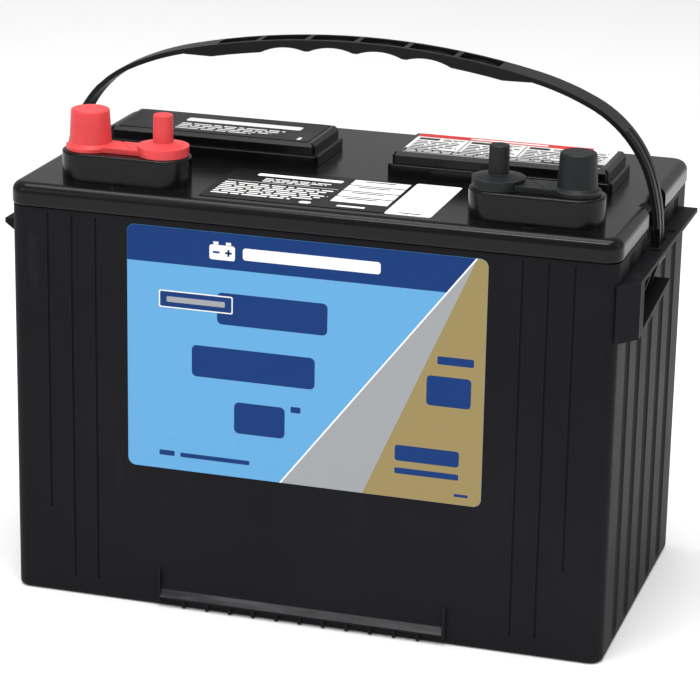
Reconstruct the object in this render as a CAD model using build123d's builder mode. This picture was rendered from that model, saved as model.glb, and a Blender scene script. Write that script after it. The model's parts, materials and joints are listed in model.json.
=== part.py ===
"""Twelve-volt flooded deep-cycle battery of the Group 27 size, with dual marine terminals.

Units are millimetres. +X runs along the length towards the negative terminal, +Y to the rear
and +Z up. The origin is the middle of the footprint, on the surface the battery stands on.
"""

import os
from math import cos, radians, sin

from build123d import *

# ---- driving dimensions ------------------------------------------------------------------

LID_LENGTH, LID_WIDTH, LID_TOP = 306.0, 171.0, 213.0
RIM_BOTTOM = 201.5  # lower edge of the cover's skirt
LID_CORNER, LID_ROUND, SKIRT_ROLL = 9.0, 5.0, 1.6
SKIRT_WALL = 2.1
PLATE_UNDERSIDE = 209.5

CASE_LENGTH, CASE_WIDTH, CASE_CORNER = 304.6, 168.6, 7.0
CASE_WALL, CASE_FLOOR = 3.0, 3.0
WALL_TOP = 206.5
CELLS, PARTITION = 6, 2.0

TERMINAL_Y, STUD_INSET = -61.0, 38.0  # studs stand this far inside the posts
POST_X = {"positive": -118.5, "negative": 126.0}
STUD_X = {"positive": POST_X["positive"] + STUD_INSET, "negative": POST_X["negative"] - STUD_INSET}
PLATFORM_RADIUS, PLATFORM_TOP = 14.0, 227.5
POST_TOP, STUD_TOP = 245.2, 245.2
COLUMN_RADIUS, BUSHING_RADIUS = 8.0, 11.0

COVER_LENGTH, COVER_DEPTH, COVER_HEIGHT = 114.0, 47.5, 12.0
COVER_X, COVER_Y = {"left": -76.5, "right": 74.0}, 17.25
PLUG_PITCH, PLUG_RADIUS, PLUG_BORE, PLUG_LENGTH = 41.0, 9.0, 7.2, 11.5
WELL_RADIUS, WELL_WALL, WELL_DEPTH = 10.0, 2.0, 11.0

LEDGE_TOP, LEDGE_REACH, LEDGE_HALF = 190.5, 160.5, 71.0
LEDGE_EDGE = 2.2  # thickness of the ledge's outer edge

STRAP_TOP, STRAP_THICK, STRAP_WIDTH = 279.0, 2.5, 15.0
STRAP_RADII = (400.0, 140.0, 60.0, 99.0)  # outer face, from the middle of the grip to the leg
STRAP_ANGLES = (13.0, 26.0, 72.0, 90.0)  # slope at the end of each arc
STRAP_NECK, STRAP_FOOT = 10.0, 181.0  # width through the ledge, height of the anchor bar
GRIP_DEPTH, GRIP_WALL, GRIP_FLOOR, RIB_PITCH = 5.8, 1.5, 1.6, 25.5

LUG_Y, WELD_Z, WELD_RADIUS = 61.0, 190.0, 5.0  # plate lugs, and the welds through the partitions

GAP = 0.2  # clearance between pieces that move apart
ON_TOP = (Align.CENTER, Align.CENTER, Align.MIN)  # centred on a point, standing on it
SIDES = (("left", -1), ("right", 1))
POLES = ("positive", "negative")

half_length, half_width = CASE_LENGTH / 2, CASE_WIDTH / 2
inner_length, inner_width = CASE_LENGTH - 2 * CASE_WALL, CASE_WIDTH - 2 * CASE_WALL
cell_pitch = (inner_length + PARTITION) / CELLS
cell_length = cell_pitch - PARTITION
cell_x = [(i - (CELLS - 1) / 2) * cell_pitch for i in range(CELLS)]
wall_x = [(left + right) / 2 for left, right in zip(cell_x, cell_x[1:])]
weld_y = [LUG_Y if i % 2 == 0 else -LUG_Y for i in range(CELLS - 1)]

os.makedirs("parts", exist_ok=True)


def save(piece, name):
    """Label a finished piece and write it."""
    piece.part.label = name
    export_step(piece.part, f"parts/{name}.step")


# ---- container ---------------------------------------------------------------------------

FLUTE_PITCH, FLUTE_HALF, FLUTE_DEPTH, FLUTE_FOOT = 27.0, 6.0, 1.5, 3.0
flute_radius = (FLUTE_HALF**2 + FLUTE_DEPTH**2) / (2 * FLUTE_DEPTH)
GROOVES = ((107.0, 10.0), (119.5, 10.0), (132.0, 46.0))  # distance from centre, lower end
GROOVE_WIDTH, GROOVE_DEPTH = 1.3, 0.8
RIB_TOP = RIM_BOTTOM - 2.5  # where flutes and grooves end, just under the cover
LEDGE_GUSSET = 9.0  # how far the ledge's underside slopes down to the wall
SHELF_TOP, SHELF_THICK, SHELF_RISE, SHELF_END = 165.0, 2.4, 7.0, 3.0  # the shelf climbs to its rear end
BLOCK_END, POCKET_RIB_Y, POCKET_RIB = -62.0, (-40.0, -18.5), 3.0
SLOT_HALF, SLOT_IN, SLOT_OUT = 10.5, half_length + 0.1, 156.4
SEAT_DEEP, SEAT_WIDE, SEAT_HIGH = 12.0, 29.0, 12.0  # clearance cut under the strap's slot
RECESS_X, RECESS_Y, RECESS_SIZE = 156.2, 18.5, (4.4, 11.0, 1.6)
HOLD_HALF, HOLD_TOP, HOLD_LOW, HOLD_REACH = 73.5, 9.4, 4.7, 2.2
FIN_TOP, FIN_LOW, FIN_THICK, FIN_REACH = 20.5, 2.6, 1.6, 2.0
HOLD_RIBS, HOLD_RIB_PITCH, HOLD_RIB_THICK, HOLD_RIB_LOW = 11, 12.2, 1.6, 0.6
NOTCH_HALF, NOTCH_REACH = 20.5, 10.0  # half width and depth of the cutters that clear the strap's way
RAIL_Y, RAIL_THICK, RAIL_HEIGHT = (-60, -20, 20, 60), 3.0, 8.5


def prism(plane, points, depth):
    """Extrude a closed polygon drawn on a plane; joins the part being built."""
    with BuildSketch(plane) as profile:
        with BuildLine():
            Polyline(*points, close=True)
        make_face()
    extrude(profile.sketch, amount=depth)


# Cutter for one flute in an end wall: a round bar with a ball end.
with BuildPart() as flute:
    ball = FLUTE_FOOT + FLUTE_HALF
    with BuildSketch(Plane.XZ):
        with BuildLine():
            RadiusArc((0, ball - flute_radius), (flute_radius, ball), -flute_radius)
            Polyline((flute_radius, ball), (flute_radius, RIB_TOP), (0, RIB_TOP), (0, ball - flute_radius))
        make_face()
    revolve(axis=Axis.Z)

# One end's ledge: square at the rear end, tapered at the front end over a pocketed bracket.
root = half_length - 1
with BuildPart() as end_ledge:
    prism(Plane.XZ.offset(-LEDGE_HALF),
          [(root, LEDGE_TOP), (LEDGE_REACH, LEDGE_TOP), (LEDGE_REACH, LEDGE_TOP - LEDGE_EDGE),
           (root, LEDGE_TOP - LEDGE_GUSSET)], 2 * LEDGE_HALF)
    prism(Plane.XY.offset(SHELF_TOP - SHELF_THICK),
          [(root, 1.5 - half_width), (half_length, 1.5 - half_width), (LEDGE_REACH, -LEDGE_HALF),
           (LEDGE_REACH, BLOCK_END), (root, BLOCK_END)], LEDGE_TOP - SHELF_TOP + SHELF_THICK)
    prism(Plane.YZ.offset(root),
          [(BLOCK_END, SHELF_TOP), (SHELF_END, SHELF_TOP + SHELF_RISE),
           (SHELF_END, SHELF_TOP + SHELF_RISE - SHELF_THICK), (BLOCK_END, SHELF_TOP - SHELF_THICK)],
          LEDGE_REACH - root)
    for rib_y in POCKET_RIB_Y:
        rib_foot = SHELF_TOP + SHELF_RISE * (rib_y - BLOCK_END) / (SHELF_END - BLOCK_END) - 1
        prism(Plane.XZ.offset(-rib_y),
              [(root, LEDGE_TOP - 1), (LEDGE_REACH - 0.5, LEDGE_TOP - 1),
               (half_length + 0.8, rib_foot), (root, rib_foot)], -POCKET_RIB)
    # The strap's slot, a flat seat under it and a shallow pocket each side.
    with Locations(((SLOT_IN + SLOT_OUT) / 2, 0, LEDGE_TOP)):
        Box(SLOT_OUT - SLOT_IN, 2 * SLOT_HALF, 30, mode=Mode.SUBTRACT)
    with Locations((SLOT_IN + SEAT_DEEP / 2, 0, LEDGE_TOP - LEDGE_EDGE - SEAT_HIGH / 2)):
        Box(SEAT_DEEP, SEAT_WIDE, SEAT_HIGH, mode=Mode.SUBTRACT)
    with Locations(*[(RECESS_X, s * RECESS_Y, LEDGE_TOP) for s in (-1, 1)]):
        Box(*RECESS_SIZE, mode=Mode.SUBTRACT)

# One long side's hold-down ledge, on small ribs between two fins.
hold_wall, hold_lip = -half_width, -half_width - HOLD_REACH
with BuildPart() as hold_down:
    prism(Plane.YZ.offset(-HOLD_HALF),
          [(hold_wall + 0.5, HOLD_TOP + 1), (hold_wall, HOLD_TOP), (hold_lip, HOLD_LOW + 0.9),
           (hold_lip, HOLD_LOW), (hold_wall + 0.5, HOLD_LOW)], 2 * HOLD_HALF)
    for i in range(HOLD_RIBS):
        prism(Plane.YZ.offset((i - (HOLD_RIBS - 1) / 2) * HOLD_RIB_PITCH - HOLD_RIB_THICK / 2),
              [(hold_wall + 1.5, HOLD_LOW + 0.1), (hold_lip + 0.2, HOLD_LOW + 0.1),
               (hold_lip + 0.9, HOLD_RIB_LOW), (hold_wall + 1.5, HOLD_RIB_LOW)], HOLD_RIB_THICK)
    for side in (-1, 1):
        with BuildSketch(Plane.YZ.offset(side * (HOLD_HALF + 0.6) - FIN_THICK / 2)):
            with Locations((hold_wall, (FIN_TOP + FIN_LOW) / 2)):
                SlotOverall(FIN_TOP - FIN_LOW, 2 * FIN_REACH, rotation=90)
        extrude(amount=FIN_THICK)

with BuildPart() as container:
    with BuildSketch(Plane.XY):
        RectangleRounded(CASE_LENGTH, CASE_WIDTH, CASE_CORNER)
    extrude(amount=RIM_BOTTOM - 0.3)
    fillet(container.faces().sort_by(Axis.Z)[0].edges(), 2.5)

    # The rim steps in, so that the cover's skirt closes flush round it.
    step = SKIRT_WALL + 0.2 - (LID_LENGTH - CASE_LENGTH) / 2
    with BuildSketch(Plane.XY.offset(RIM_BOTTOM - 0.3)):
        RectangleRounded(CASE_LENGTH - 2 * step, CASE_WIDTH - 2 * step - 0.6, CASE_CORNER - step)
    extrude(amount=WALL_TOP - RIM_BOTTOM + 0.3)

    for end in (-1, 1):
        for row in (-2, -1, 0, 1, 2):
            add(flute.part.translate((end * (root + 1 - FLUTE_DEPTH + flute_radius), row * FLUTE_PITCH, 0)),
                mode=Mode.SUBTRACT)

    # Narrow vertical grooves near the corners of the front and rear walls.
    for x, low in GROOVES:
        with Locations(*[(i * x, j * half_width, (low + RIB_TOP) / 2) for i in (-1, 1) for j in (-1, 1)]):
            Box(GROOVE_WIDTH, 2 * GROOVE_DEPTH, RIB_TOP - low, mode=Mode.SUBTRACT)

    for turn in (0, 180):
        add(end_ledge.part.rotate(Axis.Z, turn))
        add(hold_down.part.rotate(Axis.Z, turn))

    # The top of each end wall is set back behind the strap.
    for end in (-1, 1):
        with Locations((end * (half_length - 0.8 + NOTCH_REACH / 2), 0, RIM_BOTTOM)):
            Box(NOTCH_REACH, 2 * NOTCH_HALF, 12, mode=Mode.SUBTRACT)

    # Six cells, open at the top, with rails along the floor that carry the plates.
    with BuildSketch(Plane.XY.offset(CASE_FLOOR)):
        with GridLocations(cell_pitch, 0, CELLS, 1):
            RectangleRounded(cell_length, inner_width, 2)
    extrude(amount=WALL_TOP, mode=Mode.SUBTRACT)
    with Locations(*[(0, y, CASE_FLOOR - 0.5) for y in RAIL_Y]):
        Box(inner_length + 1, RAIL_THICK, RAIL_HEIGHT, align=ON_TOP)

    # Holes for the welds between neighbouring cells, rear and front in turn.
    for wall in range(CELLS - 1):
        with Locations(Location((wall_x[wall], weld_y[wall], WELD_Z), (0, 90, 0))):
            Cylinder(WELD_RADIUS, 2 * PARTITION, mode=Mode.SUBTRACT)
save(container, "container")

# ---- cover -------------------------------------------------------------------------------

HOLLOW_RADIUS, HOLLOW_HEIGHT = 8.5, 16.5
NOTCH_DEEP, NOTCH_SEAT = 5.5, 4.8
MARK_LONG, MARK_THIN, MARK_HIGH, MARK_GAP = 5.0, 1.3, 1.2, 3.2
plug_x = [i * PLUG_PITCH for i in (-1, 0, 1)]

# Raised platforms that carry the terminals.
with BuildPart() as platforms:
    with BuildSketch(Plane.XY.offset(LID_TOP - 3)):
        with Locations(*[((POST_X[pole] + STUD_X[pole]) / 2, TERMINAL_Y) for pole in POLES]):
            SlotCenterToCenter(STUD_INSET, 2 * PLATFORM_RADIUS)
    extrude(amount=PLATFORM_TOP - LID_TOP + 3)
    fillet(platforms.faces().filter_by(Plane.XY).group_by(Axis.Z)[-1].edges(), 1.2)

with BuildPart() as cover:
    with BuildSketch(Plane.XY.offset(RIM_BOTTOM)):
        RectangleRounded(LID_LENGTH, LID_WIDTH, LID_CORNER)
    extrude(amount=LID_TOP - RIM_BOTTOM)
    fillet(cover.faces().sort_by(Axis.Z)[-1].edges(), LID_ROUND)
    fillet(cover.faces().sort_by(Axis.Z)[0].edges(), SKIRT_ROLL)

    add(platforms.part)

    # Inside of the skirt, and the head space over each cell.
    with BuildSketch(Plane.XY.offset(RIM_BOTTOM - 1)):
        RectangleRounded(LID_LENGTH - 2 * SKIRT_WALL, LID_WIDTH - 2 * SKIRT_WALL, LID_CORNER - SKIRT_WALL)
    extrude(amount=WALL_TOP - RIM_BOTTOM + 1, mode=Mode.SUBTRACT)
    with BuildSketch(Plane.XY.offset(WALL_TOP - 1)):
        with GridLocations(cell_pitch, 0, CELLS, 1):
            RectangleRounded(cell_length, inner_width, 2)
    extrude(amount=PLATE_UNDERSIDE - WALL_TOP + 1, mode=Mode.SUBTRACT)

    # Seats under the end notches, which keep the outer cells closed.
    for end in (-1, 1):
        with Locations((end * (inner_length / 2 + 1 - NOTCH_SEAT / 2), 0, WALL_TOP)):
            Box(NOTCH_SEAT, 2 * (NOTCH_HALF + 2.5), PLATE_UNDERSIDE - WALL_TOP + 0.5, align=ON_TOP)

    # Vent wells: a collar below the plate, open right through.
    wells = [(x0 + x, COVER_Y, LID_TOP - WELL_DEPTH) for x0 in COVER_X.values() for x in plug_x]
    with Locations(*wells):
        Cylinder(WELL_RADIUS + WELL_WALL, WELL_DEPTH - 1, align=ON_TOP)
    with Locations(*wells):
        Cylinder(WELL_RADIUS, WELL_DEPTH * 3, mode=Mode.SUBTRACT)

    # Bushing bores, and a hollow under each stud.
    with Locations(*[(x, TERMINAL_Y, PLATFORM_TOP) for x in POST_X.values()]):
        Cylinder(BUSHING_RADIUS, 60, mode=Mode.SUBTRACT)
    with Locations(*[(x, TERMINAL_Y, WALL_TOP) for x in STUD_X.values()]):
        Cylinder(HOLLOW_RADIUS, HOLLOW_HEIGHT, align=ON_TOP, mode=Mode.SUBTRACT)

    # End notches that let the carrying strap past.
    for end in (-1, 1):
        for reach_in, height in ((SKIRT_WALL, 40), (NOTCH_DEEP, 10.4)):
            with Locations((end * (LID_LENGTH / 2 - reach_in + NOTCH_REACH / 2), 0, LID_TOP)):
                Box(NOTCH_REACH, 2 * NOTCH_HALF, height, mode=Mode.SUBTRACT)

    # Raised plus and minus marks on the lid, in front of the platforms.
    mark_y = TERMINAL_Y - PLATFORM_RADIUS - MARK_GAP
    with Locations(*[((POST_X[pole] + STUD_X[pole]) / 2, mark_y, LID_TOP) for pole in POLES]):
        Box(MARK_LONG, MARK_THIN, MARK_HIGH)
    with Locations(((POST_X["positive"] + STUD_X["positive"]) / 2, mark_y, LID_TOP)):
        Box(MARK_THIN, MARK_LONG, MARK_HIGH)
save(cover, "cover")

# ---- carrying strap ----------------------------------------------------------------------


def strap_outline(inset, thickness):
    """One leg of the strap seen from the front, from the middle of the grip to the foot."""
    with BuildSketch(Plane.XZ) as outline:
        with BuildLine():
            ends = []
            for depth in (inset, inset + thickness):
                point, slope = (0, STRAP_TOP - depth), 0.0
                for radius, angle in zip(STRAP_RADII, STRAP_ANGLES):
                    heading = (cos(radians(slope)), -sin(radians(slope)))
                    point = JernArc(point, heading, radius - depth, slope - angle) @ 1
                    slope = angle
                ends.append(Line(point, (point.X, STRAP_FOOT)) @ 1)
            Line(*ends)
            Line((0, STRAP_TOP - inset), (0, STRAP_TOP - inset - thickness))
        make_face()
    return outline.sketch


strap_x = STRAP_THICK / 2
slope_so_far = 0.0
for arc_radius, arc_angle in zip(STRAP_RADII, STRAP_ANGLES):
    strap_x += (arc_radius - STRAP_THICK / 2) * (sin(radians(arc_angle)) - sin(radians(slope_so_far)))
    slope_so_far = arc_angle
strap_x -= STRAP_THICK / 2  # middle of the leg's thickness

grip_centre = STRAP_TOP - STRAP_RADII[0]
GRIP_FULL, NOTCH_RISE, NOTCH_RADIUS = 10.7, 2.1, 30.0  # half angle at full depth; finger notches
WEDGE_REACH = STRAP_RADII[0] + 9
wedge_x = WEDGE_REACH * sin(radians(STRAP_ANGLES[0]))
wedge_z = WEDGE_REACH * cos(radians(STRAP_ANGLES[0]))
RIDGE_HIGH, RIDGE_WIDE, RIDGE_Y, RIDGE_TOP = 0.5, 3.2, 3.4, 246.0
NECK_LENGTH, ANCHOR_RADIUS, ANCHOR_EXTRA = 20.0, 1.8, 1.6
GRIP_POCKETS_END, RIB_THICK = 74.0, 2.4
grip_low = STRAP_RADII[0] - GRIP_DEPTH
notch_reach = grip_low - NOTCH_RADIUS + NOTCH_RISE

with BuildPart() as carry_handle:
    # A flat band, with two ridges along the outer face of its lower legs.
    leg = extrude(strap_outline(0, STRAP_THICK), amount=STRAP_WIDTH / 2, both=True, mode=Mode.PRIVATE)
    ridge = extrude(strap_outline(-RIDGE_HIGH, 1.0), amount=RIDGE_WIDE / 2, both=True, mode=Mode.PRIVATE)
    ridge = split(ridge, bisect_by=Plane.XY.offset(RIDGE_TOP), keep=Keep.BOTTOM, mode=Mode.PRIVATE)
    for turn in (0, 180):
        add(leg.rotate(Axis.Z, turn))
        for y in (-RIDGE_Y, RIDGE_Y):
            add(ridge.rotate(Axis.Z, turn).translate((0, y, 0)))

    # Grip: a trough with rounded finger notches beneath it.
    with BuildSketch(Plane.XZ) as grip_side:
        with Locations((0, grip_centre)):
            Circle(STRAP_RADII[0])
            Circle(grip_low, mode=Mode.SUBTRACT)
        with BuildLine():
            Polyline((0, grip_centre), (wedge_x, grip_centre + wedge_z), (0, STRAP_TOP + 30),
                     (-wedge_x, grip_centre + wedge_z), close=True)
        make_face(mode=Mode.INTERSECT)
        for end in (-1, 1):
            shoulder_at = ((grip_low - 0.4, GRIP_FULL), (STRAP_RADII[0] - STRAP_THICK, GRIP_FULL + 2.4),
                           (grip_low - 4, GRIP_FULL + 2.9), (grip_low - 6, GRIP_FULL))
            shoulder = [(radius * sin(radians(angle)) * end, grip_centre + radius * cos(radians(angle)))
                        for radius, angle in shoulder_at]
            with BuildLine():
                Polyline(*shoulder, close=True)
            make_face(mode=Mode.SUBTRACT)
        for i in (-1.5, -0.5, 0.5, 1.5):
            angle = i * RIB_PITCH / STRAP_RADII[0]
            with Locations((notch_reach * sin(angle), grip_centre + notch_reach * cos(angle))):
                Circle(NOTCH_RADIUS, mode=Mode.SUBTRACT)
    add(extrude(grip_side.sketch, amount=STRAP_WIDTH / 2, both=True, mode=Mode.PRIVATE))

    # The trough is cut from above between six cross ribs, leaving a floor that follows the notches.
    pocket_ends = [-GRIP_POCKETS_END, *[i * RIB_PITCH for i in (-2, -1, 0, 1, 2)], GRIP_POCKETS_END]
    for left, right in zip(pocket_ends, pocket_ends[1:]):
        with BuildSketch(Plane.XZ) as pocket:
            with Locations((0, grip_centre)):
                Circle(STRAP_RADII[0] + 5)
                Circle(grip_low + GRIP_FLOOR, mode=Mode.SUBTRACT)
            with Locations(((left + right) / 2, STRAP_TOP)):
                Rectangle(right - left - RIB_THICK, 60, mode=Mode.INTERSECT)
            angle = (left + right) / 2 / STRAP_RADII[0]
            with Locations((notch_reach * sin(angle), grip_centre + notch_reach * cos(angle))):
                Circle(NOTCH_RADIUS + GRIP_FLOOR, mode=Mode.SUBTRACT)
        add(extrude(pocket.sketch, amount=STRAP_WIDTH / 2 - GRIP_WALL, both=True, mode=Mode.PRIVATE),
            mode=Mode.SUBTRACT)

    # Necks through the ledges, and the anchor bars beneath them.
    for side in (-1, 1):
        with Locations(*[(side * strap_x, s * (STRAP_NECK / 2 + 5), LEDGE_TOP - 1.5) for s in (-1, 1)]):
            Box(12, 10, NECK_LENGTH, mode=Mode.SUBTRACT)
        with Locations(Location((side * strap_x, 0, STRAP_FOOT), (90, 0, 0))):
            Cylinder(ANCHOR_RADIUS, 2 * (SLOT_HALF + ANCHOR_EXTRA))
save(carry_handle, "carry_handle")

# ---- gang vent covers --------------------------------------------------------------------

STEP_HEIGHT, STEP_INSET, COVER_SKIN = 6.0, 2.0, 2.0
SEAL_Z, SEAL_WIRE = LID_TOP - 5.0, 0.7
ARRESTOR_RADIUS, ARRESTOR_THICK = 7.0, 2.5
COVER_WALL, COVER_CORNER, RING_WALL = 4.0, 3.5, 1.2
SEAL_RING = PLUG_RADIUS + SEAL_WIRE - 0.5  # sunk half a millimetre into the plug

for name, side in SIDES:
    middle = (COVER_X[name], COVER_Y)
    base_z = LID_TOP + GAP
    top_z = LID_TOP + COVER_HEIGHT
    plugs = [(middle[0] + x, COVER_Y) for x in plug_x]
    arrestor_at = (middle[0] + side * PLUG_PITCH / 2, COVER_Y)

    with BuildPart() as vent_cap:
        with BuildSketch(Plane.XY.offset(base_z)):
            with Locations(middle):
                RectangleRounded(COVER_LENGTH, COVER_DEPTH, COVER_CORNER)
        extrude(amount=STEP_HEIGHT - GAP)
        fillet(vent_cap.faces().sort_by(Axis.Z)[-1].edges(), 1.0)
        with BuildSketch(Plane.XY.offset(base_z + 1)):
            with Locations(middle):
                RectangleRounded(COVER_LENGTH - 2 * STEP_INSET, COVER_DEPTH - 2 * STEP_INSET,
                                 COVER_CORNER - 1)
        extrude(amount=COVER_HEIGHT - GAP - 1)
        chamfer(vent_cap.faces().sort_by(Axis.Z)[-1].edges(), 1.8)
        with BuildSketch(Plane.XY.offset(base_z)):
            with Locations(middle):
                RectangleRounded(COVER_LENGTH - 2 * COVER_WALL, COVER_DEPTH - 2 * COVER_WALL,
                                 COVER_CORNER - 2)
        extrude(amount=COVER_HEIGHT - GAP - COVER_SKIN, mode=Mode.SUBTRACT)
        with BuildSketch(Plane.XY.offset(LID_TOP - PLUG_LENGTH)):
            with Locations(*plugs):
                Circle(PLUG_RADIUS)
        extrude(amount=PLUG_LENGTH + COVER_HEIGHT - COVER_SKIN + 0.5)
        with BuildSketch(Plane.XY.offset(LID_TOP - PLUG_LENGTH)):
            with Locations(*plugs):
                Circle(PLUG_BORE)
        extrude(amount=PLUG_LENGTH + COVER_HEIGHT - COVER_SKIN, mode=Mode.SUBTRACT)
        with Locations(*[(x, y, SEAL_Z) for x, y in plugs]):
            Torus(SEAL_RING, SEAL_WIRE + 0.02, mode=Mode.SUBTRACT)
        # Gas paths from the plugs to the chamber, and the ring that holds the flame arrestor.
        with Locations(*[(x, y, LID_TOP + 5) for x, y in plugs]):
            Box(2 * PLUG_RADIUS + 4, 3, 4, mode=Mode.SUBTRACT)
        with BuildSketch(Plane.XY.offset(top_z - COVER_SKIN - 4)):
            with Locations(arrestor_at):
                Circle(ARRESTOR_RADIUS + RING_WALL)
                Circle(ARRESTOR_RADIUS, mode=Mode.SUBTRACT)
        extrude(amount=4.5)
    save(vent_cap, f"vent_cap_{name}")

    with BuildPart() as flame_arrestor:
        with BuildSketch(Plane.XY.offset(top_z - COVER_SKIN - 0.5 - ARRESTOR_THICK)):
            with Locations(arrestor_at):
                Circle(ARRESTOR_RADIUS)
        extrude(amount=ARRESTOR_THICK)
        chamfer(flame_arrestor.edges().filter_by(GeomType.CIRCLE), 0.3)
    save(flame_arrestor, f"flame_arrestor_{name}")

    with BuildPart() as vent_seals:
        with Locations(*[(x, y, SEAL_Z) for x, y in plugs]):
            Torus(SEAL_RING, SEAL_WIRE)
    save(vent_seals, f"vent_seals_{name}")

# ---- terminals ---------------------------------------------------------------------------

TAPER = 1.0 / 18  # radius lost per millimetre of height
PAD_RADIUS, PAD_TOP, BRIDGE_TOP = 10.5, 231.5, 229.0
CAP_WALL, CAP_PLAY, CAP_ROOM = 0.6, 0.25, 1.3  # room above the post and the stud
HEAD_RADIUS, HEAD_THICK, WEB_THICK = 7.0, 2.0, 2.6
SKIRT_RADIUS, FLANGE_TOP, SKIRT_TOP = 12.7, 229.6, 232.4
BRIDGE_WIDTH = 12.0
SHANK_EXTRA = 0.5  # the stud's shank inside the lead pad is a little thicker than its free end


def post_cone(part_x, low_radius, low, high):
    """A tapered post standing on the platform; joins the part being built."""
    top_radius = low_radius - TAPER * (high - low)
    with Locations((part_x, TERMINAL_Y, low)):
        Cone(low_radius, top_radius, high - low, align=ON_TOP)


POST_RADIUS = {"positive": 9.75, "negative": 8.95}  # at the platform
stud_radius = 4.0

for name, post_radius in POST_RADIUS.items():
    post_x, stud_x = POST_X[name], STUD_X[name]

    with BuildPart() as bushing:
        with BuildSketch(Plane.XY.offset(PLATE_UNDERSIDE)):
            with Locations((post_x, TERMINAL_Y)):
                Circle(BUSHING_RADIUS)
                Circle(COLUMN_RADIUS, mode=Mode.SUBTRACT)
        extrude(amount=PLATFORM_TOP - PLATE_UNDERSIDE)
    save(bushing, f"{name}_bushing")

    with BuildPart() as terminal:
        post_cone(post_x, post_radius, PLATFORM_TOP, POST_TOP)
        chamfer(terminal.faces().sort_by(Axis.Z)[-1].edges(), 0.6)
        with Locations(((post_x + stud_x) / 2, TERMINAL_Y, PLATFORM_TOP)):
            Box(STUD_INSET, BRIDGE_WIDTH, BRIDGE_TOP - PLATFORM_TOP,
                align=ON_TOP)
        with Locations((stud_x, TERMINAL_Y, PLATFORM_TOP)):
            Cylinder(PAD_RADIUS, PAD_TOP - PLATFORM_TOP, align=ON_TOP)
        rims = terminal.edges().filter_by(GeomType.CIRCLE)
        chamfer(rims.filter_by_position(Axis.Z, PAD_TOP - 0.1, PAD_TOP + 0.1), 0.5)
        with Locations((stud_x, TERMINAL_Y, PLATFORM_TOP)):
            Cylinder(HEAD_RADIUS, 2 * HEAD_THICK, mode=Mode.SUBTRACT)
            Cylinder(stud_radius + SHANK_EXTRA, 30, mode=Mode.SUBTRACT)
    save(terminal, f"{name}_terminal")

    with BuildPart() as stud:
        with Locations((stud_x, TERMINAL_Y, PLATFORM_TOP)):
            Cylinder(HEAD_RADIUS, HEAD_THICK, align=ON_TOP)
            Cylinder(stud_radius + SHANK_EXTRA, PAD_TOP - PLATFORM_TOP,
                     align=ON_TOP)
            Cylinder(stud_radius, STUD_TOP - PLATFORM_TOP, align=ON_TOP)
        chamfer(stud.faces().sort_by(Axis.Z)[-1].edges(), 0.8)
    save(stud, f"{name}_stud")

    # Slip-on cover: a sleeve over the post, one over the stud, and a web between them.
    sleeve = post_radius + CAP_PLAY + CAP_WALL
    cap_low = PLATFORM_TOP + GAP
    with BuildPart() as cap:
        post_cone(post_x, sleeve, cap_low, POST_TOP + 2.4)
        fillet(cap.faces().sort_by(Axis.Z)[-1].edges(), 1.2)
        with BuildSketch(Plane.XY.offset(cap_low)):
            with Locations((post_x, TERMINAL_Y)):
                Circle(sleeve + 1.5)
        extrude(amount=FLANGE_TOP - cap_low)
        with Locations((post_x, TERMINAL_Y, FLANGE_TOP)):
            Cone(sleeve + 0.9, sleeve - 0.3, 1.6, align=ON_TOP)
        with Locations((stud_x, TERMINAL_Y, cap_low)):
            Cylinder(SKIRT_RADIUS, SKIRT_TOP - cap_low, align=ON_TOP)
        with Locations((stud_x, TERMINAL_Y, SKIRT_TOP)):
            Cone(SKIRT_RADIUS - 0.8, stud_radius + 1.2, 1.5, align=ON_TOP)
        with Locations((stud_x, TERMINAL_Y, cap_low)):
            Cone(stud_radius + 1.1, stud_radius + 0.8, POST_TOP + 2.6 - cap_low,
                 align=ON_TOP)
        fillet(cap.edges().filter_by(GeomType.CIRCLE).sort_by(Axis.Z)[-1], 0.8)
        with Locations(((post_x + stud_x) / 2, TERMINAL_Y, cap_low)):
            Box(STUD_INSET, BRIDGE_WIDTH + 3.4, WEB_THICK, align=ON_TOP)
        # Hollows that take the post, the pad, the stud and the lead bridge.
        with Locations((post_x, TERMINAL_Y, PLATFORM_TOP - 1)):
            bore_height = POST_TOP + CAP_ROOM - PLATFORM_TOP
            bore_radius = post_radius + CAP_PLAY
            Cone(bore_radius, bore_radius - TAPER * bore_height, bore_height, align=ON_TOP,
                 mode=Mode.SUBTRACT)
        with Locations((stud_x, TERMINAL_Y, PLATFORM_TOP - 1)):
            Cylinder(PAD_RADIUS + CAP_PLAY, PAD_TOP + 1 + CAP_PLAY - PLATFORM_TOP,
                     align=ON_TOP, mode=Mode.SUBTRACT)
            Cylinder(stud_radius + CAP_PLAY, STUD_TOP + CAP_ROOM - PLATFORM_TOP,
                     align=ON_TOP, mode=Mode.SUBTRACT)
        with Locations(((post_x + stud_x) / 2, TERMINAL_Y, PLATFORM_TOP - 1)):
            Box(STUD_INSET, BRIDGE_WIDTH + 2 * CAP_PLAY, BRIDGE_TOP + 1 + CAP_PLAY - PLATFORM_TOP,
                align=ON_TOP, mode=Mode.SUBTRACT)
        # Drain slit in the sleeve's top, and the score across the web.
        with Locations((post_x, TERMINAL_Y, POST_TOP + 2)):
            Box(4.5, 0.9, 6, mode=Mode.SUBTRACT)
        with Locations(Location(((post_x + stud_x) / 2, TERMINAL_Y, cap_low + WEB_THICK), (0, 0, 35))):
            Box(0.8, 30, 0.9, mode=Mode.SUBTRACT)
    save(cap, f"{name}_cap")

# ---- labels ------------------------------------------------------------------------------

LABEL_THICK, LABEL_LIFT = 0.25, 0.02
FRONT_LABEL = (181.0, 124.0, 136.0)  # width, height, middle height
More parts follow.
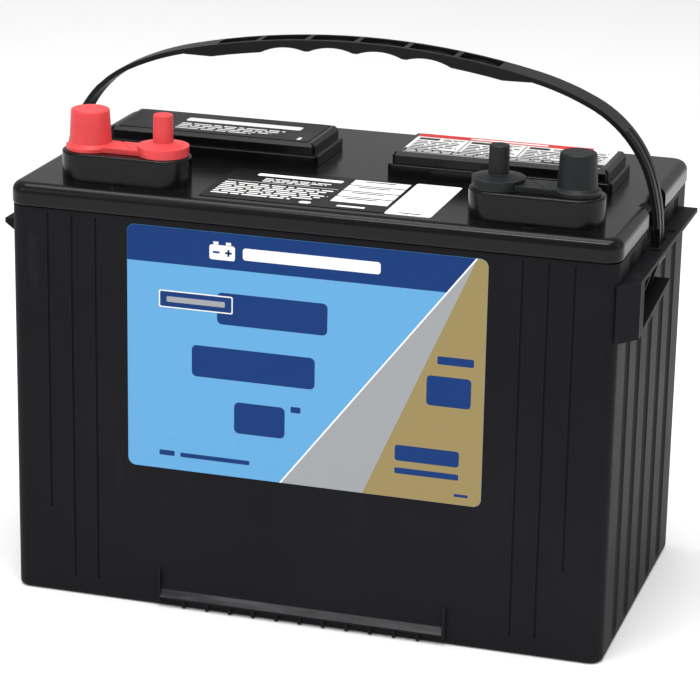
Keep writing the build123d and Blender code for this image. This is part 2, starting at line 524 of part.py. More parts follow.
# name, middle x, middle y, length, depth, height of the face it sits on
TOP_LABELS = (
    ("rating_label", -10.5, -47.5, 93.0, 57.0, LID_TOP),
    ("date_label", 48.0, -47.0, 23.0, 59.0, LID_TOP),
    ("vent_label_left", COVER_X["left"], COVER_Y, 102.0, 38.5, LID_TOP + COVER_HEIGHT),
    ("vent_label_right", COVER_X["right"], COVER_Y, 102.0, 38.5, LID_TOP + COVER_HEIGHT),
)

with BuildPart() as front_label:
    with BuildSketch(Plane.XZ.offset(half_width + LABEL_LIFT)):
        with Locations((0, FRONT_LABEL[2])):
            RectangleRounded(FRONT_LABEL[0], FRONT_LABEL[1], 4)
    extrude(amount=LABEL_THICK)
save(front_label, "front_label")

for name, x, y, length, depth, face_z in TOP_LABELS:
    with BuildPart() as label:
        with BuildSketch(Plane.XY.offset(face_z + LABEL_LIFT)):
            with Locations((x, y)):
                RectangleRounded(length, depth, 1.5)
        extrude(amount=LABEL_THICK)
    save(label, name)

# ---- cells -------------------------------------------------------------------------------

POSITIVES, NEGATIVES = 6, 7
PLATE_PITCH, POSITIVE_THICK, NEGATIVE_THICK, SEPARATOR_THICK = 3.35, 2.1, 1.7, 1.0
PLATE_WIDTH, PLATE_LOW, PLATE_HEIGHT = 143.0, CASE_FLOOR + 8.5, 150.0
LUG_WIDTH, STRAP_LOW, LEAD_STRAP_THICK, LEAD_STRAP_WIDTH = 12.0, 176.0, 6.0, 20.0
SEPARATOR_EXTRA, TAB_HEIGHT = 5.0, 22.0
plate_top = PLATE_LOW + PLATE_HEIGHT


def plate_group(x0, count, thickness, lug_y):
    """Plates on the cell's pitch, their lugs, and the lead strap cast across the lugs."""
    offsets = [(i - (count - 1) / 2) * 2 * PLATE_PITCH for i in range(count)]
    with Locations(*[(x0 + dx, 0, PLATE_LOW) for dx in offsets]):
        Box(thickness, PLATE_WIDTH, PLATE_HEIGHT, align=ON_TOP)
    with Locations(*[(x0 + dx, lug_y, plate_top - 1) for dx in offsets]):
        Box(thickness, LUG_WIDTH, STRAP_LOW - plate_top + 2, align=ON_TOP)
    with Locations((x0, lug_y, STRAP_LOW)):
        Box(offsets[-1] - offsets[0] + thickness, LEAD_STRAP_WIDTH, LEAD_STRAP_THICK,
            align=ON_TOP)


def terminal_column(x0, post_x):
    """The round column from an end cell's strap up through the cover's bushing."""
    with Locations(((x0 + post_x) / 2, TERMINAL_Y, STRAP_LOW)):
        Box(abs(post_x - x0) + 2, LEAD_STRAP_WIDTH, LEAD_STRAP_THICK,
            align=ON_TOP)
    with Locations((post_x, TERMINAL_Y, STRAP_LOW)):
        Cylinder(COLUMN_RADIUS, PLATFORM_TOP - STRAP_LOW, align=ON_TOP)


for i, x0 in enumerate(cell_x):
    cell = i + 1
    positive_y = -LUG_Y if i % 2 == 0 else LUG_Y

    with BuildPart() as positive_plates:
        plate_group(x0, POSITIVES, POSITIVE_THICK, positive_y)
        if cell == 1:
            terminal_column(x0, POST_X["positive"])
    save(positive_plates, f"cell_{cell}_positive_plates")

    with BuildPart() as negative_plates:
        plate_group(x0, NEGATIVES, NEGATIVE_THICK, -positive_y)
        if cell == CELLS:
            terminal_column(x0, POST_X["negative"])
    save(negative_plates, f"cell_{cell}_negative_plates")

    with BuildPart() as separators:
        gaps = [(j - (2 * POSITIVES - 1) / 2) * PLATE_PITCH for j in range(2 * POSITIVES)]
        with Locations(*[(x0 + dx, 0, PLATE_LOW) for dx in gaps]):
            Box(SEPARATOR_THICK, PLATE_WIDTH + SEPARATOR_EXTRA, PLATE_HEIGHT + SEPARATOR_EXTRA,
                align=ON_TOP)
    save(separators, f"cell_{cell}_separators")

# Connectors join neighbouring straps through each partition, rear and front in turn.
negative_end = (NEGATIVES - 1) * PLATE_PITCH + NEGATIVE_THICK / 2
positive_end = (POSITIVES - 1) * PLATE_PITCH + POSITIVE_THICK / 2
for i in range(CELLS - 1):
    tabs = ((cell_x[i] + negative_end, wall_x[i] - PARTITION / 2),
            (wall_x[i] + PARTITION / 2, cell_x[i + 1] - positive_end))
    with BuildPart() as connector:
        for low, high in tabs:
            with Locations(((low + high) / 2, weld_y[i], STRAP_LOW)):
                Box(high - low, LEAD_STRAP_WIDTH, TAB_HEIGHT, align=ON_TOP)
        with Locations(Location((wall_x[i], weld_y[i], WELD_Z), (0, 90, 0))):
            Cylinder(WELD_RADIUS, PARTITION)
    save(connector, f"cell_connector_{i + 1}_{i + 2}")
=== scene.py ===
"""Looks for the deep-cycle battery: moulded black plastic, printed labels, lead and steel terminals."""

import json
from math import cos, radians, sin, tau

import bmesh
import bpy
from mathutils import Matrix, Vector


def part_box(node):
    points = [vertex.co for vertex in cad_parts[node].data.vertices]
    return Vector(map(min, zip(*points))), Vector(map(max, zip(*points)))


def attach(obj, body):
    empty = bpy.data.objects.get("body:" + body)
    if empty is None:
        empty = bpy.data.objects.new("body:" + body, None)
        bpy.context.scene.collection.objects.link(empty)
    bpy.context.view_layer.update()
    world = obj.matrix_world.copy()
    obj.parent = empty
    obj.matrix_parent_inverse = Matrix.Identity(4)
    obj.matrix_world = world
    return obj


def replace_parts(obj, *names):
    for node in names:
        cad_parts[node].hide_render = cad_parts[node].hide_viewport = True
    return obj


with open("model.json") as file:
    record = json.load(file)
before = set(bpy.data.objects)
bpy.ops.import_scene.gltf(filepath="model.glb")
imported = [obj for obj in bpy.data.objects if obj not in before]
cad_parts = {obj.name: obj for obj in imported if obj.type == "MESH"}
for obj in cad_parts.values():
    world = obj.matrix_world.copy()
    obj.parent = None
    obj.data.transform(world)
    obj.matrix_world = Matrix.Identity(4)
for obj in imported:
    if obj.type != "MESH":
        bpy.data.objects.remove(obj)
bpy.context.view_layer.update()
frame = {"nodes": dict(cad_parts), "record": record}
nodes = frame["nodes"]
MM = 0.001


# ---- shader helpers ----------------------------------------------------------------------

# How far the bevelled normal agrees with the true one: 1 on a flat face, less near an edge.
NEARLY_FLAT, SHARP = 0.995, 0.86
# Over these distances the painted highlight and scuffs fade out at the ledge's top and begin at its wall.
LEDGE_FADE, WALL_FADE = 0.0005, 0.0003
# Colour of the ledge tops: a painted highlight on their upward faces, with scuff streaks in it.
HIGHLIGHT_AND_SCUFF_COLOUR = (0.075, 0.075, 0.078, 1.0)


class Shader:
    """A material's node tree with short calls for the nodes used here."""

    def __init__(self, name):
        self.material = bpy.data.materials.new(name)
        self.material.use_nodes = True
        self.tree = self.material.node_tree
        self.bsdf = self.tree.nodes["Principled BSDF"]
        self.coords = self.tree.nodes.new("ShaderNodeTexCoord")

    def link(self, source, target):
        self.tree.links.new(source, target)

    def put(self, socket, value):
        """Give a socket a constant, or link it to another node's output."""
        if isinstance(value, bpy.types.NodeSocket):
            self.link(value, socket)
        else:
            socket.default_value = value

    def noise(self, scale, detail=3.0, rough=0.5, stretch=(1, 1, 1)):
        """Soft noise in the object's own coordinates; a stretch below 1 draws it out along that axis."""
        mapping = self.tree.nodes.new("ShaderNodeMapping")
        mapping.inputs["Scale"].default_value = stretch
        self.link(self.coords.outputs["Object"], mapping.inputs["Vector"])
        node = self.tree.nodes.new("ShaderNodeTexNoise")
        node.inputs["Scale"].default_value = scale
        node.inputs["Detail"].default_value = detail
        node.inputs["Roughness"].default_value = rough
        self.link(mapping.outputs[0], node.inputs["Vector"])
        return node.outputs["Fac"]

    def spots(self, scale):
        """Distance to the nearest of many scattered points, for pits."""
        node = self.tree.nodes.new("ShaderNodeTexVoronoi")
        node.inputs["Scale"].default_value = scale
        self.link(self.coords.outputs["Object"], node.inputs["Vector"])
        return node.outputs["Distance"]

    def spread(self, value, low, high, new_low, new_high):
        """Map the range low to high onto new_low to new_high, clamped at both ends."""
        node = self.tree.nodes.new("ShaderNodeMapRange")
        self.put(node.inputs["Value"], value)
        limits = {"From Min": low, "From Max": high, "To Min": new_low, "To Max": new_high}
        for name, number in limits.items():
            node.inputs[name].default_value = number
        return node.outputs["Result"]

    def math(self, operation, a, b=0.0):
        node = self.tree.nodes.new("ShaderNodeMath")
        node.operation = operation
        self.put(node.inputs[0], a)
        self.put(node.inputs[1], b)
        return node.outputs[0]

    def mix(self, factor, a, b):
        node = self.tree.nodes.new("ShaderNodeMix")
        node.data_type = "RGBA"
        self.put(node.inputs["Factor"], factor)
        self.put(node.inputs["A"], a)
        self.put(node.inputs["B"], b)
        return node.outputs["Result"]

    def bump(self, height, strength, distance, under=None):
        node = self.tree.nodes.new("ShaderNodeBump")
        node.inputs["Strength"].default_value = strength
        node.inputs["Distance"].default_value = distance
        self.link(height, node.inputs["Height"])
        if under is not None:
            self.link(under, node.inputs["Normal"])
        return node.outputs["Normal"]

    def edges(self, width=0.0009):
        """Rises along sharp edges, where handling wears them."""
        rounded = self.tree.nodes.new("ShaderNodeBevel")
        rounded.samples = 4
        rounded.inputs["Radius"].default_value = width
        surface = self.tree.nodes.new("ShaderNodeNewGeometry")
        match = self.tree.nodes.new("ShaderNodeVectorMath")
        match.operation = "DOT_PRODUCT"
        self.link(rounded.outputs["Normal"], match.inputs[0])
        self.link(surface.outputs["Normal"], match.inputs[1])
        return self.spread(match.outputs["Value"], NEARLY_FLAT, SHARP, 0.0, 1.0)

    def ledge_highlight_and_scuffs(self, top, wall):
        """Rises on the upward faces of the low ledges outside the long walls: a painted highlight there,
        broken into scuff streaks where hold-down clamps scrape.
        """
        parts = self.tree.nodes.new("ShaderNodeSeparateXYZ")
        self.link(self.tree.nodes.new("ShaderNodeNewGeometry").outputs["Normal"], parts.inputs[0])
        place = self.tree.nodes.new("ShaderNodeSeparateXYZ")
        self.link(self.coords.outputs["Object"], place.inputs[0])
        upward = self.spread(parts.outputs["Z"], 0.2, 0.35, 0.0, 1.0)
        low = self.spread(place.outputs["Z"], top, top + LEDGE_FADE, 1.0, 0.0)
        distance = self.math("ABSOLUTE", place.outputs["Y"])
        outside = self.spread(distance, wall, wall + WALL_FADE, 0.0, 1.0)
        streaks = self.spread(self.noise(120.0, 5.0, 0.7, (0.12, 1.0, 1.0)), 0.38, 0.62, 0.25, 1.0)
        on_ledge = self.math("MULTIPLY", upward, low)
        return self.math("MULTIPLY", on_ledge, self.math("MULTIPLY", outside, streaks))


def rgba(colour, gain=1.0):
    """A colour made lighter or darker, with full alpha."""
    return (*[min(c * gain, 1.0) for c in colour[:3]], 1.0)


def moulded(name, colour, rough, grain=900.0, depth=0.05, wear=0.35, shine=0.3, ledge=None):
    """Injection-moulded plastic: fine skin texture, slow gloss variation, faint scuffs, rubbed edges."""
    s = Shader(name)
    cloud = s.noise(9.0, 4.0, 0.6)
    scuff = s.noise(60.0, 6.0, 0.7, (1.0, 1.0, 0.16))
    base = s.mix(s.spread(cloud, 0.35, 0.7, 0.0, 1.0), rgba(colour, 0.88), rgba(colour, 1.12))
    marks = s.spread(scuff, 0.60, 0.74, 0.0, 0.22)
    base = s.mix(marks, base, rgba([c + 0.02 for c in colour], 1.25))
    base = s.mix(s.math("MULTIPLY", s.edges(), wear), base, rgba([c + 0.05 for c in colour], 1.4))
    if ledge is not None:
        # Lighter ledge tops: a painted highlight on their upward faces, broken into scuff streaks.
        base = s.mix(s.ledge_highlight_and_scuffs(*ledge), base, HIGHLIGHT_AND_SCUFF_COLOUR)
    s.link(base, s.bsdf.inputs["Base Color"])
    gloss = s.spread(cloud, 0.3, 0.75, rough - 0.05, rough + 0.06)
    s.link(s.math("ADD", gloss, s.math("MULTIPLY", marks, 0.5)), s.bsdf.inputs["Roughness"])
    wave = s.bump(s.noise(26.0, 2.0), 0.25, 0.0004)
    s.link(s.bump(s.noise(grain, 2.0), depth, 0.0002, wave), s.bsdf.inputs["Normal"])
    s.bsdf.inputs["Specular IOR Level"].default_value = shine
    return s.material


def soft_vinyl(name, colour, glow, rough=0.34):
    """Dipped vinyl cover: saturated, slightly translucent, with dull handled patches."""
    s = Shader(name)
    cloud = s.noise(45.0, 4.0, 0.6)
    base = s.mix(s.spread(cloud, 0.35, 0.7, 0.0, 1.0), rgba(colour, 0.9), rgba(colour, 1.08))
    base = s.mix(s.math("MULTIPLY", s.edges(), 0.4), base, rgba([c + 0.08 for c in colour], 1.1))
    s.link(base, s.bsdf.inputs["Base Color"])
    s.link(s.spread(cloud, 0.3, 0.7, rough - 0.06, rough + 0.1), s.bsdf.inputs["Roughness"])
    s.link(s.bump(s.noise(500.0, 2.0), 0.08, 0.0002), s.bsdf.inputs["Normal"])
    s.bsdf.inputs["Subsurface Weight"].default_value = glow
    s.bsdf.inputs["Subsurface Radius"].default_value = (0.003, 0.001, 0.001)
    s.bsdf.inputs["Subsurface Scale"].default_value = 1.0
    s.bsdf.inputs["Specular IOR Level"].default_value = 0.22
    return s.material


def printed(name, colour, rough=0.28, tint=0.05):
    """Ink on a varnished film: a faint screen grain and slow waves from the glue."""
    s = Shader(name)
    screen = s.noise(2200.0, 1.0)
    base = s.mix(s.spread(screen, 0.3, 0.7, 0.0, 1.0), rgba(colour, 1 - tint), rgba(colour, 1 + tint))
    s.link(base, s.bsdf.inputs["Base Color"])
    s.link(s.spread(s.noise(30.0, 4.0), 0.3, 0.7, rough - 0.05, rough + 0.08), s.bsdf.inputs["Roughness"])
    s.link(s.bump(s.noise(38.0, 3.0), 0.05, 0.0003), s.bsdf.inputs["Normal"])
    s.bsdf.inputs["Specular IOR Level"].default_value = 0.12
    return s.material


def metal(name, colour, rough, metallic, pitting, streak=(1, 1, 1)):
    """Cast or turned metal: tarnish patches, small pits and a directional grain."""
    s = Shader(name)
    cloud = s.noise(70.0, 5.0, 0.65)
    base = s.mix(s.spread(cloud, 0.35, 0.7, 0.0, 1.0), rgba(colour, 0.7), rgba(colour, 1.1))
    s.link(base, s.bsdf.inputs["Base Color"])
    s.link(s.spread(cloud, 0.3, 0.75, rough - 0.1, rough + 0.12), s.bsdf.inputs["Roughness"])
    pits = s.bump(s.spots(900.0), pitting, 0.0003)
    s.link(s.bump(s.noise(600.0, 3.0, 0.6, streak), 0.15, 0.0002, pits), s.bsdf.inputs["Normal"])
    s.bsdf.inputs["Metallic"].default_value = metallic
    return s.material


# ---- materials ---------------------------------------------------------------------------

RED, BLUE, SKY = (0.72, 0.062, 0.067), (0.004, 0.036, 0.165), (0.125, 0.37, 0.655)
GREY, GOLD = (0.33, 0.34, 0.355), (0.31, 0.235, 0.098)
WHITE, BLACK = (0.86, 0.86, 0.85), (0.005, 0.005, 0.006)

# The hold-down ledges: how high they reach, and where the long walls behind them stand.
LEDGE_TOP, LEDGE_REACH = 0.012, 0.0022
LEDGE = (LEDGE_TOP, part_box("container")[1][1] - LEDGE_REACH)

CASE, GLOSSY = (0.0115, 0.0113, 0.013), (0.004, 0.004, 0.0045)

LOOKS = {
    "case_plastic": moulded("case_polypropylene", CASE, 0.48, 700.0, 0.06, 0.05, 0.04, LEDGE),
    "lid_plastic": moulded("lid_polypropylene", GLOSSY, 0.2, 700.0, 0.03, 0.12, 0.2),
    "strap_plastic": moulded("strap_polypropylene", (0.007, 0.007, 0.0075), 0.36, 600.0, 0.05, 0.4, 0.14),
    "vent_cap_plastic": moulded("vent_polypropylene", GLOSSY, 0.2, 700.0, 0.03, 0.12, 0.2),
    "red_plastic": soft_vinyl("red_vinyl", RED, 0.12),
    "black_plastic": soft_vinyl("black_vinyl", (0.010, 0.011, 0.012), 0.0, 0.42),
    "lead": metal("cast_lead", (0.34, 0.35, 0.37), 0.5, 0.85, 0.35),
    "stud_steel": metal("stainless_steel", (0.62, 0.61, 0.58), 0.28, 1.0, 0.05, (1, 1, 12)),
    "seal_rubber": moulded("seal_rubber", (0.02, 0.02, 0.02), 0.7, 1200.0, 0.1, 0.0),
    "porous_plastic": moulded("sintered_plastic", (0.78, 0.78, 0.74), 0.85, 2500.0, 0.6, 0.0),
    "positive_plate": metal("lead_dioxide", (0.10, 0.055, 0.04), 0.85, 0.0, 0.6),
    "negative_plate": metal("spongy_lead", (0.22, 0.23, 0.24), 0.8, 0.2, 0.6),
    "separator": moulded("separator_sheet", (0.70, 0.70, 0.67), 0.7, 1500.0, 0.3, 0.0),
    "front_label_film": printed("film_light_blue", SKY),
    "black_label_film": printed("film_black", BLACK, 0.3),
    "white_label_film": printed("film_white", WHITE, 0.35, 0.02),
}
INKS = {
    "blue": printed("ink_blue", BLUE),
    "grey": printed("ink_grey", GREY),
    "gold": printed("ink_gold", GOLD),
    "white": printed("ink_white", WHITE, 0.35, 0.02),
    "red": printed("ink_red", (0.66, 0.012, 0.012)),
    "black": printed("ink_black", BLACK),
}

for entry in frame["record"]["subparts"]:
    mesh = nodes[entry["node"]].data
    mesh.materials.clear()
    mesh.materials.append(LOOKS[entry["material_slot"]])


def piece(name, mesh, material, body):
    """Put a finished mesh into the scene as a named piece that rides on a body."""
    mesh.materials.append(material)
    obj = bpy.data.objects.new(name, mesh)
    bpy.context.scene.collection.objects.link(obj)
    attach(obj, body)
    return obj


# ---- printing on the labels --------------------------------------------------------------

INK_THICK, LAYER_STEP = 0.03, 0.012  # mm; a higher layer covers a lower one


def ink(name, shapes, place, colour, body, layer=1):
    """Flat printed shapes. place maps a point (u, v, height) of the label, in mm, to the frame."""
    bm = bmesh.new()
    low = LAYER_STEP * layer
    high = low + INK_THICK
    for outline in shapes:
        under = [bm.verts.new(place(u, v, low)) for u, v in outline]
        over = [bm.verts.new(place(u, v, high)) for u, v in outline]
        bm.faces.new(over)
        bm.faces.new(under[::-1])
        for i in range(len(outline)):
            j = (i + 1) % len(outline)
            bm.faces.new((under[i], under[j], over[j], over[i]))
    bmesh.ops.recalc_face_normals(bm, faces=bm.faces)
    mesh = bpy.data.meshes.new(name)
    bm.to_mesh(mesh)
    bm.free()
    piece(name, mesh, INKS[colour], body)


def arc(u, v, radius, start, end, steps=6):
    """Points along an arc, in degrees."""
    turns = [radians(start + (end - start) * i / steps) for i in range(steps + 1)]
    return [(u + radius * cos(t), v + radius * sin(t)) for t in turns]


def bar(u0, v0, u1, v1, round_by=0.0):
    """A rectangle from one corner to the other, with round corners if asked for."""
    if round_by == 0.0:
        return [(u0, v0), (u1, v0), (u1, v1), (u0, v1)]
    r = round_by
    return [*arc(u1 - r, v1 - r, r, 0, 90), *arc(u0 + r, v1 - r, r, 90, 180),
            *arc(u0 + r, v0 + r, r, 180, 270), *arc(u1 - r, v0 + r, r, 270, 360)]


# Lengths of the dashes in letter widths, in a made-up order that repeats.
WORD_LENGTHS = (4, 7, 3, 5, 2, 8, 4, 6, 3, 9, 5)
LETTER_WIDTH, WORD_GAP = 0.42, 0.4  # of the row pitch
LAST_ROW_SHORT, ROW_SHORT = 0.28, 0.05  # of the row's length


def small_print(u0, v0, u1, v1, rows, ink_share=0.5):
    """Dashes in place of rows of small print: a dash for each word."""
    pitch = (v1 - v0) / rows
    shapes = []
    for row in range(rows):
        u, word = u0, row * 3
        limit = u1 - (u1 - u0) * (LAST_ROW_SHORT if row == rows - 1 else ROW_SHORT * (row % 3))
        while u < limit:
            end = min(u + WORD_LENGTHS[word % len(WORD_LENGTHS)] * pitch * LETTER_WIDTH, limit)
            v = v1 - (row + 1) * pitch
            shapes.append(bar(u, v, end, v + pitch * ink_share))
            u, word = end + pitch * WORD_GAP, word + 1
    return shapes


# Front label, in mm: u to the right of its middle, v above the floor.
INK_MARGIN = 0.05  # the print stops this far inside the film's edge
front_low, front_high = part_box("front_label")
front_z = (front_low[2] + front_high[2]) / 2 / MM
half_u = (front_high[0] - front_low[0]) / 2 / MM - INK_MARGIN
half_v = (front_high[2] - front_low[2]) / 2 / MM - INK_MARGIN
bottom, top = front_z - half_v, front_z + half_v
HEADER, CORNER = 18.0, 4.0
header = top - HEADER
# Where the fields' slanted edges meet the bottom and the top of the label.
LINE_LOW, LINE_HIGH, GOLD_LOW = -11.0, 85.0, 31.0


def on_front(u, v, height):
    """Place a point of the front label in the frame."""
    return (u * MM, front_low[1] - height * MM, v * MM)


def front_ink(name, shapes, colour, layer=1):
    """Ink on the front label."""
    ink(name, shapes, on_front, colour, "battery", layer)


corner_left, corner_right = -half_u + CORNER, half_u - CORNER
line_at_header = LINE_LOW + (LINE_HIGH - LINE_LOW) * (header - bottom) / (top - bottom)
front_ink("label_header", [[(-half_u, header), (line_at_header, header), (LINE_HIGH, top),
                            *arc(corner_left, top - CORNER, CORNER, 90, 180)]], "blue")
front_ink("label_grey_field", [[(LINE_LOW, bottom), (GOLD_LOW, bottom), (LINE_HIGH, top)]], "grey")
front_ink("label_gold_field", [[(GOLD_LOW, bottom), *arc(corner_right, bottom + CORNER, CORNER, 270, 360),
                                *arc(corner_right, top - CORNER, CORNER, 0, 90), (LINE_HIGH, top)]], "gold")
front_ink("label_white_line", [[(LINE_LOW - 0.5, bottom), (LINE_LOW + 0.5, bottom), (LINE_HIGH + 0.4, top),
                                (LINE_HIGH - 0.6, top)]], "white", 3)
# A plain battery sign: a box with two poles, and a plus and a minus on it.
sign_u, sign_v = -48.0, header + 4.4
front_ink("label_sign", [bar(sign_u, sign_v, sign_u + 13, sign_v + 7.4, 1.2),
                         bar(sign_u + 2, sign_v + 7.2, sign_u + 4.6, sign_v + 9),
                         bar(sign_u + 8.4, sign_v + 7.2, sign_u + 11, sign_v + 9)], "white", 3)
front_ink("label_sign_marks", [bar(sign_u + 1.8, sign_v + 3.2, sign_u + 5.2, sign_v + 4.2),
                               bar(sign_u + 8.0, sign_v + 3.2, sign_u + 11.4, sign_v + 4.2),
                               bar(sign_u + 9.2, sign_v + 2.0, sign_u + 10.2, sign_v + 5.4)], "blue", 6)
front_ink("label_header_bar", [bar(-31, header + 5.4, 38, header + 11.4, 1.5)], "white", 3)
front_ink("label_title_bars", [bar(-44, header - 28, 12, header - 12, 2.5),
                               bar(-57, header - 56, 6, header - 40, 2.5),
                               bar(-35, header - 83, -9, header - 67, 2.5)], "blue")
front_ink("label_badge_rim", [bar(-74, header - 22.4, -36, header - 13.6, 0.8)], "white", 4)
front_ink("label_badge", [bar(-73.4, header - 21.8, -36.6, header - 14.2, 0.6)], "blue", 7)
front_ink("label_badge_bar", [bar(-70, header - 19.4, -40, header - 16.6, 0.6)], "grey", 10)
front_ink("label_small_bars", [bar(-74, bottom + 7, -66, bottom + 9.6, 0.6),
                               bar(-63, bottom + 7, -27, bottom + 9.2, 0.6),
                               bar(-6, header - 69, -1, header - 66, 0.6)], "blue", 3)
front_ink("label_gold_bars", [bar(67, bottom + 70, 85, bottom + 74, 0.8),
                              bar(62, bottom + 49, 84, bottom + 64, 2.0),
                              bar(47, bottom + 19, 79, bottom + 27, 1.5),
                              bar(47, bottom + 12.4, 79, bottom + 15.4, 0.8),
                              bar(77, bottom + 4, 84, bottom + 5.4, 0.4)], "blue", 3)


def on_top(node):
    """A function that places a point of a level label, measured from the label's centre."""
    low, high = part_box(node)
    centre = ((low[0] + high[0]) / 2, (low[1] + high[1]) / 2)
    return lambda u, v, height: (centre[0] + u * MM, centre[1] + v * MM, high[2] + height * MM)


def half_size(node):
    """Half the length and half the width of a level label, in mm."""
    low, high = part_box(node)
    return (high[0] - low[0]) / 2 / MM, (high[1] - low[1]) / 2 / MM


def top_ink(name, label, shapes, colour, layer=1):
    """Ink on a label that lies on a level face; label is its node, its body and its slot."""
    node, body, slot = label
    ink(name, shapes, on_top(node), colour, body, layer)


# Black rating label: a white bar, rows of dashes, and a column of white boxes.
half_u, _ = half_size("rating_label")
rating = ("rating_label", "battery", "black_label_film")
box_rows = [26 - 11 * row for row in range(4)]  # tops of the boxes
top_ink("rating_print", rating, [
    bar(-32, 17, 12, 21.5, 1.2), *small_print(-26, 7, 8, 14.5, 3), bar(-43, 4.4, 14, 4.8),
    *small_print(-43, -21, 13, 3, 7), bar(22, -25, 36, -22.4, 0.6), bar(3, -25.5, 9, -21.5, 1.9)], "white")
top_ink("rating_boxes", rating, [bar(16.5, v - 9.6, half_u - 1.5, v) for v in box_rows], "white")
top_ink("rating_box_print", rating, [bar(22, v - 3, 38, v - 1.6, 0.4) for v in box_rows], "black", 4)
date = ("date_label", "battery", "white_label_film")
top_ink("date_print", date, [bar(-5, -27, 6, -25.6, 0.4)], "black")

# Vent cover labels: white print on black to the left, black print on white to the right.
left = ("vent_label_left", "vent_cover_left", "black_label_film")
top_ink("left_vent_print", left, [bar(-22, 2, 40, 9, 1.5), *small_print(-22, -14, 34, -1, 4),
                                  bar(44, -17, 46, -12, 0.6)], "white")
half_u, half_v = half_size("vent_label_right")
right = ("vent_label_right", "vent_cover_right", "white_label_film")
COLUMNS = ((-49, -26), (-22, 4), (8, 31), (35, 49))  # left and right ends of the columns of print
top_ink("right_vent_header", right, [bar(-half_u + 0.1, half_v - 6.5, half_u - 12, half_v - 0.1)], "red")
top_ink("right_vent_header_bar", right, [bar(-24, half_v - 4.6, 16, half_v - 2.2, 0.8)], "white", 4)
top_ink("right_vent_strip", right, [bar(-half_u + 0.1, -half_v + 0.1, half_u - 0.1, -half_v + 7)], "black")
strip = small_print(-half_u + 2, -half_v + 1.2, half_u - 4, -half_v + 6.2, 2)
top_ink("right_vent_strip_print", right, strip, "white", 4)
panels = [bar(edge - 2, -half_v + 8, edge - 1.5, half_v - 7.5) for edge, _ in COLUMNS[1:]]
for start, end in COLUMNS:
    middle = (start + end) / 2
    panels += [bar(start, half_v - 12.5, middle - 1, half_v - 8.5, 0.6),
               *small_print(middle + 1, half_v - 12.5, end, half_v - 8, 2),
               *small_print(start, -half_v + 8.5, end, half_v - 13.5, 5)]
top_ink("right_vent_print", right, panels, "black")

# ---- threaded studs ----------------------------------------------------------------------

PAD_HEIGHT, STUD_RADIUS, STUD_PITCH, END_BEVEL = 0.004, 0.004, 0.00141, 0.0008  # metres
THREAD_DEPTH = 0.61  # of the pitch
AROUND, ROWS_PER_TURN = 48, 6


def thread(name, node, radius, pitch):
    """A helical thread in place of a CAD stud, from its lead pad up, with a bevel at its tip."""
    low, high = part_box(node)
    x, y = (low[0] + high[0]) / 2, (low[1] + high[1]) / 2
    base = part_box(node.replace("stud", "terminal"))[0][2] + PAD_HEIGHT
    depth = THREAD_DEPTH * pitch
    rows = int(((high[2] - base) / pitch + 1) * ROWS_PER_TURN)

    def point(r, k, z):
        return x + r * cos(tau * k / AROUND), y + r * sin(tau * k / AROUND), z

    bm = bmesh.new()
    rings = []
    for row in range(rows + 1):
        ring = []
        for k in range(AROUND):
            z = base + (row / ROWS_PER_TURN + k / AROUND - 1) * pitch
            crest = abs((row / ROWS_PER_TURN % 1.0) * 2 - 1)
            z = min(max(z, base), high[2])
            r = min(radius - depth * (1 - crest), radius - max(0.0, z - high[2] + END_BEVEL))
            ring.append(bm.verts.new(point(r, k, z)))
        rings.append(ring)
    # The last point of each ring meets the first point of the ring one turn up.
    for row in range(rows):
        for k in range(AROUND):
            after, up = (k + 1) % AROUND, ROWS_PER_TURN if k + 1 == AROUND else 0
            if row + 1 + up <= rows:
                bm.faces.new((rings[row][k], rings[row + up][after],
                              rings[row + 1 + up][after], rings[row + 1][k]))
    bm.faces.new([bm.verts.new(point(radius - depth, k, high[2])) for k in range(AROUND)])
    bmesh.ops.remove_doubles(bm, verts=bm.verts, dist=1e-6)
    bmesh.ops.dissolve_degenerate(bm, edges=bm.edges, dist=1e-6)
    bmesh.ops.recalc_face_normals(bm, faces=bm.faces)
    mesh = bpy.data.meshes.new(name)
    bm.to_mesh(mesh)
    bm.free()
    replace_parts(piece(name, mesh, LOOKS["stud_steel"], "battery"), node)


for pole in ("positive", "negative"):
    thread(f"{pole}_stud_thread", f"{pole}_stud", STUD_RADIUS, STUD_PITCH)

# ---- studio ------------------------------------------------------------------------------


def area_light(name, place, target, size, power):
    """A rectangular lamp at a place, facing a target; size in metres, power in watts."""
    light = bpy.data.lights.new(name, "AREA")
    light.shape = "RECTANGLE"
    light.size, light.size_y = size
    light.energy = power
    obj = bpy.data.objects.new(name, light)
    obj.location = place
    obj.rotation_euler = (Vector(target) - Vector(place)).to_track_quat("-Z", "Y").to_euler()
    bpy.context.scene.collection.objects.link(obj)


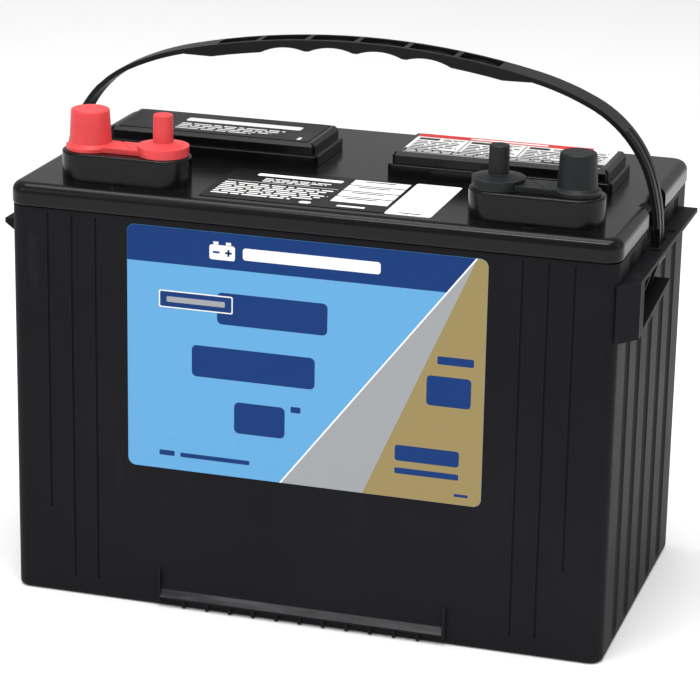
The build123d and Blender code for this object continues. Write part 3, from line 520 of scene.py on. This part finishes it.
def studio():
    """The pale floor, the even sky and four soft lamps."""
    bm = bmesh.new()
    bmesh.ops.create_grid(bm, x_segments=2, y_segments=2, size=6.0)
    mesh = bpy.data.meshes.new("floor")
    bm.to_mesh(mesh)
    bm.free()
    floor = bpy.data.objects.new("floor", mesh)
    s = Shader("pale_floor")
    s.link(s.mix(s.noise(3.0), (0.89, 0.89, 0.89, 1), (0.91, 0.91, 0.91, 1)), s.bsdf.inputs["Base Color"])
    s.bsdf.inputs["Roughness"].default_value = 0.7
    s.bsdf.inputs["Emission Color"].default_value = (1.0, 1.0, 1.0, 1.0)
    s.bsdf.inputs["Emission Strength"].default_value = 0.08
    mesh.materials.append(s.material)
    bpy.context.scene.collection.objects.link(floor)

    world = bpy.data.worlds.new("studio")
    world.use_nodes = True
    world.node_tree.nodes["Background"].inputs[0].default_value = (1.0, 1.0, 1.0, 1.0)
    world.node_tree.nodes["Background"].inputs[1].default_value = 0.48
    bpy.context.scene.world = world

    middle = (0, 0, 0.12)
    area_light("top", (0.0, -0.1, 2.4), (0, 0, 0), (2.4, 1.2), 44.0)
    area_light("front_left", (-1.5, -1.9, 1.3), middle, (1.0, 1.2), 6.0)
    area_light("side", (2.2, 0.3, 0.9), middle, (0.7, 1.5), 2.5)
    area_light("strip", (0.1, -1.0, 1.9), (0, 0, 0.2), (1.4, 0.3), 20.0)


AZIMUTH, ELEVATION, ROLL = radians(16.82), radians(17.94), radians(1.05)
DISTANCE, AIM = 1.462, Vector((-0.002, 0.0, 0.1176))
FOCAL_LENGTH, SENSOR = 147.034, 36.0  # mm


def camera():
    """The photograph's viewpoint, as fitted to the battery's corners."""
    data = bpy.data.cameras.new("camera")
    data.sensor_width = SENSOR
    data.lens = FOCAL_LENGTH
    data.clip_start = 0.05
    back = Vector((sin(AZIMUTH) * cos(ELEVATION), -cos(AZIMUTH) * cos(ELEVATION), sin(ELEVATION)))
    obj = bpy.data.objects.new("camera", data)
    turn = (-back).to_track_quat("-Z", "Y").to_matrix().to_4x4()
    obj.matrix_world = Matrix.Translation(AIM + back * DISTANCE) @ turn @ Matrix.Rotation(ROLL, 4, "Z")
    bpy.context.scene.collection.objects.link(obj)
    bpy.context.scene.camera = obj


studio()
camera()
bpy.context.scene.view_settings.view_transform = "Standard"
